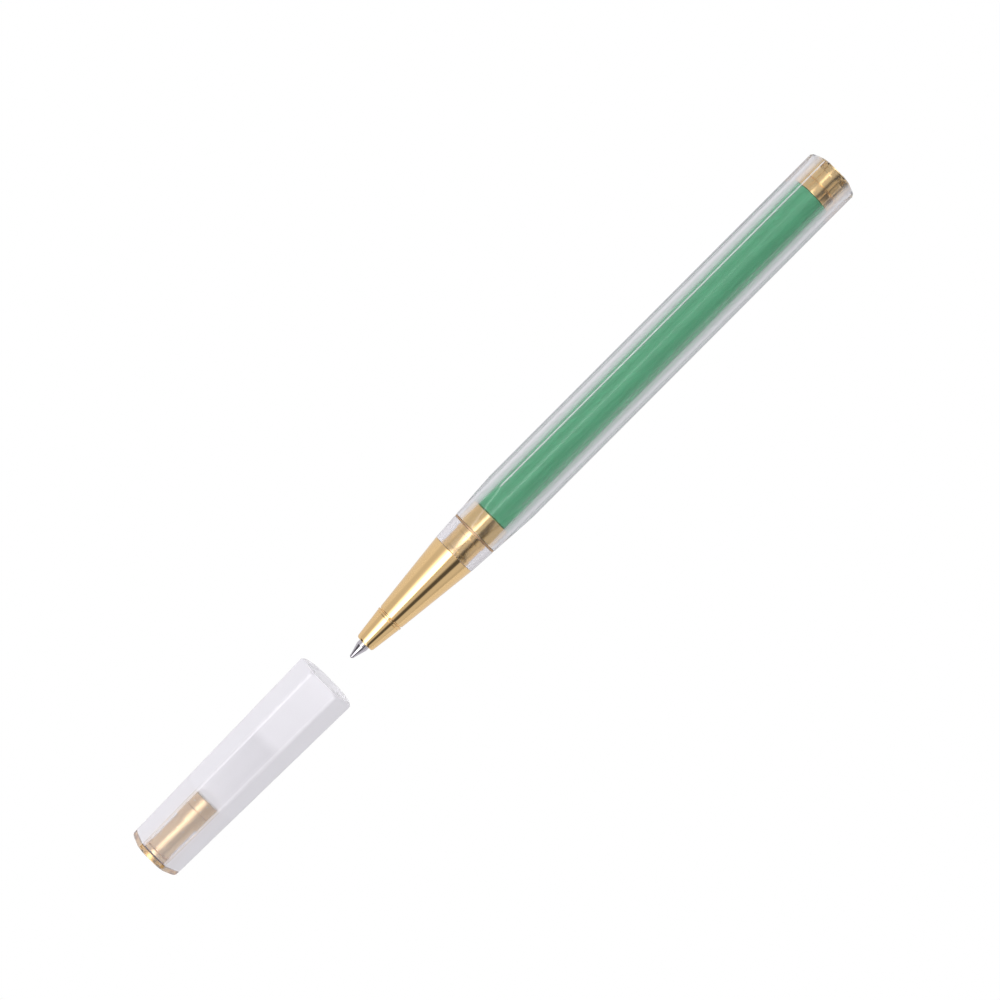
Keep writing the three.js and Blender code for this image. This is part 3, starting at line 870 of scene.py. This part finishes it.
def make_cap_shell():
    """The cap: a polished hexagon outside, a drilled bore that turns six-sided inside."""
    angles = hex_angles(CAP_MOUTH_FLAT, CAP_FILLET)
    outside = cap_outside(angles)
    piece = loft("frosted_cap", outside + cap_inside(angles), closed=True)
    place(piece, "cap_shell", "cap", "frosted_plastic",
          CAP_OUTER, CAP_BORE, CAP_END, CAP_MOUTH_PAINTED_GLOW)
    bore, closed_end, mouth = 1, 2, 3  # places of the last three in the list of materials
    outside_faces = len(outside) * len(angles)  # the loft makes the outside's faces first
    for face in piece.data.polygons:
        if face.index >= outside_faces:
            face.material_index = mouth if face.center.x > HEX_BORE_X + HEX_BLEND else bore
    use_material(piece, closed_end, lambda x, r: x < cap_end_x + CLEAR_END)


def make_cap_end_disc():
    """The brass disc flush in the closed end, and the stud behind it."""
    disc = radius("cap_end_disc")
    disc_back = cap_end_x + 1.0 * MM
    stud = 1.4 * MM
    stud_end = high("cap_end_disc")
    chamfer = 0.2 * MM
    rim_depth = 0.15 * MM
    edge = 0.1 * MM
    fine = 0.05 * MM
    piece = turned("cap_disc", [
        (cap_end_x, 0, 0), (cap_end_x, disc - chamfer, edge),
        (cap_end_x + chamfer, disc, edge), (disc_back, disc, fine),
        (disc_back, stud, 0), (stud_end, stud, fine), (stud_end, 0, 0)])
    place(piece, "cap_end_disc", "cap", "brass", BRASS, RIM_BRASS)
    use_material(piece, 1, lambda x, r: r > disc - rim_depth)


def make_cap_socket():
    """The stepped brass socket: a flange, a web on the stud, and a fine line round its mouth."""
    back, mouth = low("cap_socket"), high("cap_socket")
    flange = radius("cap_socket")
    flange_end = cap_end_x + 2.0 * MM
    web_end = cap_end_x + 2.2 * MM
    stud_hole = 1.45 * MM
    narrow = 3.7 * MM
    narrow_bore = 3.25 * MM
    wide = 4.4 * MM
    wide_bore = 3.95 * MM
    step = cap_end_x + 10.1 * MM
    bore_step = cap_end_x + 10.5 * MM
    line = cap_end_x + 13.2 * MM
    line_half = 0.15 * MM
    line_depth = 0.1 * MM
    fine = 0.05 * MM
    piece = turned("brass_socket", [
        (back, stud_hole, 0), (back, flange, fine), (flange_end, flange, fine),
        (flange_end, narrow, fine), (step, narrow, fine), (step, wide, 2 * fine),
        (line - line_half, wide, fine), (line, wide - line_depth, fine),
        (line + line_half, wide, fine), (mouth - 0.35 * MM, wide, 2 * fine),
        (mouth, wide - 0.3 * MM, fine), (mouth, wide_bore, fine),
        (bore_step, wide_bore, 0), (bore_step, narrow_bore, 0),
        (web_end, narrow_bore, 0), (web_end, stud_hole, 0)])
    place(piece, "cap_socket", "cap", "brass", SOCKET_BRASS)


def make_inner_cap():
    """The plastic liner in the socket, which closes round the nose."""
    back, mouth = low("inner_cap"), high("inner_cap")
    narrow = 3.2 * MM
    narrow_bore = 2.62 * MM
    wide = 3.9 * MM
    wide_bore = 3.35 * MM
    step = cap_end_x + 10.55 * MM
    bore_step = cap_end_x + 10.8 * MM
    bore_floor = cap_end_x + 2.75 * MM
    lead_in = 0.2 * MM
    fine = 0.05 * MM
    piece = turned("plastic_liner", [
        (back, 0, 0), (back, narrow, fine), (step, narrow, 0), (step, wide, 0),
        (mouth, wide, fine), (mouth, wide_bore + lead_in, fine),
        (mouth - lead_in, wide_bore, fine), (bore_step, wide_bore, 3 * fine),
        (bore_step, narrow_bore, 3 * fine), (bore_floor, narrow_bore, 3 * fine), (bore_floor, 0, 0)])
    place(piece, "inner_cap", "cap", "white_plastic", WHITE)


def make_nib_seal():
    """The soft pad at the liner's bottom."""
    back, front = low("nib_seal"), high("nib_seal")
    r = radius("nib_seal")
    fine = 0.05 * MM
    piece = turned("soft_pad", [(back, 0, 0), (back, r, fine), (front, r, 2 * fine), (front, 0, 0)])
    place(piece, "nib_seal", "cap", "silicone", SILICONE)


# ---------------------------------------------------------------- stage
FLOOR_SIZE = 3.0
REST_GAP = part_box("barrel_shell")[0].z
CAMERA_TURN = math.radians(-45.07)
CAMERA_HEIGHT = 0.420
CAMERA_AIM = (3.0 * MM, 1.1 * MM)
VIEW_WIDTH = 0.200  # what the frame covers at the pen's axis
SENSOR = 36.0
FLOOR_LIGHT = (0.25, 0.25, 0.25)
FLOOR_DARK = (0.24, 0.24, 0.24)
FLOOR_GLOW = 0.54  # the tabletop is lit from below, so that it shows no shadow


def white_to_camera(tree, other):
    """Shows the camera plain white paper where every other ray meets the given shader."""
    paper = tree.nodes.new("ShaderNodeEmission")
    paper.inputs["Color"].default_value = (1, 1, 1, 1)
    path = tree.nodes.new("ShaderNodeLightPath")
    pick = tree.nodes.new("ShaderNodeMixShader")
    tree.links.new(path.outputs["Is Camera Ray"], pick.inputs["Fac"])
    tree.links.new(other, pick.inputs[1])
    tree.links.new(paper.outputs["Emission"], pick.inputs[2])
    return pick.outputs["Shader"]


def make_floor():
    """A pale tabletop, tipped by a hair so that the cap's mouth and the barrel's tail touch it."""
    slope = REST_GAP / (tail_x - cap_mouth_x)
    mesh = bpy.data.meshes.new("table_top")
    half = FLOOR_SIZE / 2
    corners = []
    for x, y in ((-half, -half), (half, -half), (half, half), (-half, half)):
        corners.append((x, y, slope * (x - cap_mouth_x)))
    mesh.from_pydata(corners, [], [(0, 1, 2, 3)])
    floor = bpy.data.objects.new("table_top", mesh)
    bpy.context.scene.collection.objects.link(floor)
    material, tree, shader = new_material("table_white")
    shader.inputs["Roughness"].default_value = 0.8
    shader.inputs["Specular IOR Level"].default_value = 0.1
    shader.inputs["Emission Color"].default_value = (0.975, 0.965, 1.0, 1)
    shader.inputs["Emission Strength"].default_value = FLOOR_GLOW
    tone = noise(tree, (40, 40, 40))
    tree.links.new(two_tone(tree, tone, FLOOR_LIGHT, FLOOR_DARK), shader.inputs["Base Color"])
    output = tree.nodes["Material Output"]
    tree.links.new(white_to_camera(tree, shader.outputs["BSDF"]), output.inputs["Surface"])
    mesh.materials.append(material)


def make_camera():
    """A camera straight above the pen, turned so that the pen lies from corner to corner."""
    data = bpy.data.cameras.new("camera")
    data.sensor_width = SENSOR
    data.lens = SENSOR * CAMERA_HEIGHT / VIEW_WIDTH
    data.clip_start = 0.01
    data.clip_end = 20
    camera = bpy.data.objects.new("camera", data)
    camera.location = (CAMERA_AIM[0], CAMERA_AIM[1], axis_z + CAMERA_HEIGHT)
    camera.rotation_euler = (0, 0, CAMERA_TURN)
    bpy.context.scene.collection.objects.link(camera)
    bpy.context.scene.camera = camera


AMBIENT = 0.66  # radiance of the plain studio walls and ceiling
KEY = 3.0  # what the soft box adds to it


def dot(tree, vector, direction):
    """How far one direction points along another."""
    node = tree.nodes.new("ShaderNodeVectorMath")
    node.operation = "DOT_PRODUCT"
    node.inputs[1].default_value = direction
    tree.links.new(vector, node.inputs[0])
    return node.outputs["Value"]


def make_studio():
    """A soft studio: pale walls, a soft box to the camera's left and a dark gap at its lower right."""
    world = bpy.data.worlds.new("studio")
    world.use_nodes = True
    tree = world.node_tree
    sky = tree.nodes.new("ShaderNodeTexCoord").outputs["Generated"]
    # Every part of the room is placed by how far it lies to the camera's right (rightward runs a
    # little aslant of plain_right) and to its top, and by how far it lies along +X, +Y and +Z.
    c, s = math.cos(CAMERA_TURN), math.sin(CAMERA_TURN)
    slant = 0.2
    rightward = dot(tree, sky, (c + slant * s, s - slant * c, 0))
    plain_right = dot(tree, sky, (c, s, 0))
    upward = dot(tree, sky, (-s, c, 0))
    across = dot(tree, sky, (0, 1, 0))
    along = dot(tree, sky, (1, 0, 0))
    overhead = dot(tree, sky, (0, 0, 1))
    # The soft box.
    box = combine(tree, "MULTIPLY", [
        ramp(tree, rightward, -0.145, -0.105, 1, 0),
        ramp(tree, plain_right, -0.76, -0.36),
        ramp(tree, upward, 0.08, 0.5, 1, 0),
        ramp(tree, upward, -0.6, -0.4),
        ramp(tree, overhead, 0, 0.2, 0, KEY)])
    # The walls: a dark gap on the -Y side, a dark corner on the +Y side at both ends of the room,
    # and a light between the two.
    gap_end = combine(tree, "ADD", [across, ramp(tree, along, 0.1, 0.2, 0, 0.25)])
    far_end = combine(tree, "ADD", [
        ramp(tree, along, 0.35, 0.55), ramp(tree, along, -0.55, -0.35, 1, 0)])
    gap = combine(tree, "ADD", [
        ramp(tree, gap_end, -0.8, -0.7, 1, 0.14),
        ramp(tree, across, -0.54, -0.34, 0, 0.86)])
    right_edge = ramp(tree, across, -0.98, -0.94, 0.85, 1)
    left_edge = ramp(tree, across, 0.93, 0.99, 1, 1.25)
    end_light = combine(tree, "MULTIPLY", [
        far_end, ramp(tree, across, -0.4, -0.15), ramp(tree, across, 0.15, 0.4, 2.0, 0)])
    far_corner = combine(tree, "MULTIPLY", [far_end, ramp(tree, across, 0.3, 0.5, 0, 0.9)])
    walls = combine(tree, "ADD", [
        combine(tree, "MULTIPLY", [gap, right_edge, left_edge, without(tree, far_corner)]), end_light])
    level = tree.nodes.new("ShaderNodeMath")
    level.operation = "MULTIPLY_ADD"
    level.inputs[1].default_value = AMBIENT
    tree.links.new(walls, level.inputs[0])
    tree.links.new(box, level.inputs[2])
    back = tree.nodes["Background"]
    back.inputs["Color"].default_value = (0.985, 0.975, 1.0, 1)
    tree.links.new(level.outputs["Value"], back.inputs["Strength"])
    output = tree.nodes["World Output"]
    tree.links.new(white_to_camera(tree, back.outputs["Background"]), output.inputs["Surface"])
    bpy.context.scene.world = world


make_camera()
make_floor()
make_studio()
make_barrel_shell()
make_colour_sleeve()
make_barrel_insert()
make_tail_plug()
make_buffer_spring()
make_nose_piece()
make_section_cone()
make_section_neck()
make_grip_ring()
make_writing_ball()
make_nib_tip()
make_tip_holder()
make_refill_tube()
make_ink_column()
make_ink_follower()
make_refill_plug()
make_cap_shell()
make_cap_end_disc()
make_cap_socket()
make_inner_cap()
make_nib_seal()

scene = bpy.context.scene
scene.view_settings.view_transform = "Standard"
scene.cycles.max_bounces = 32
scene.cycles.transmission_bounces = 24
scene.cycles.glossy_bounces = 12
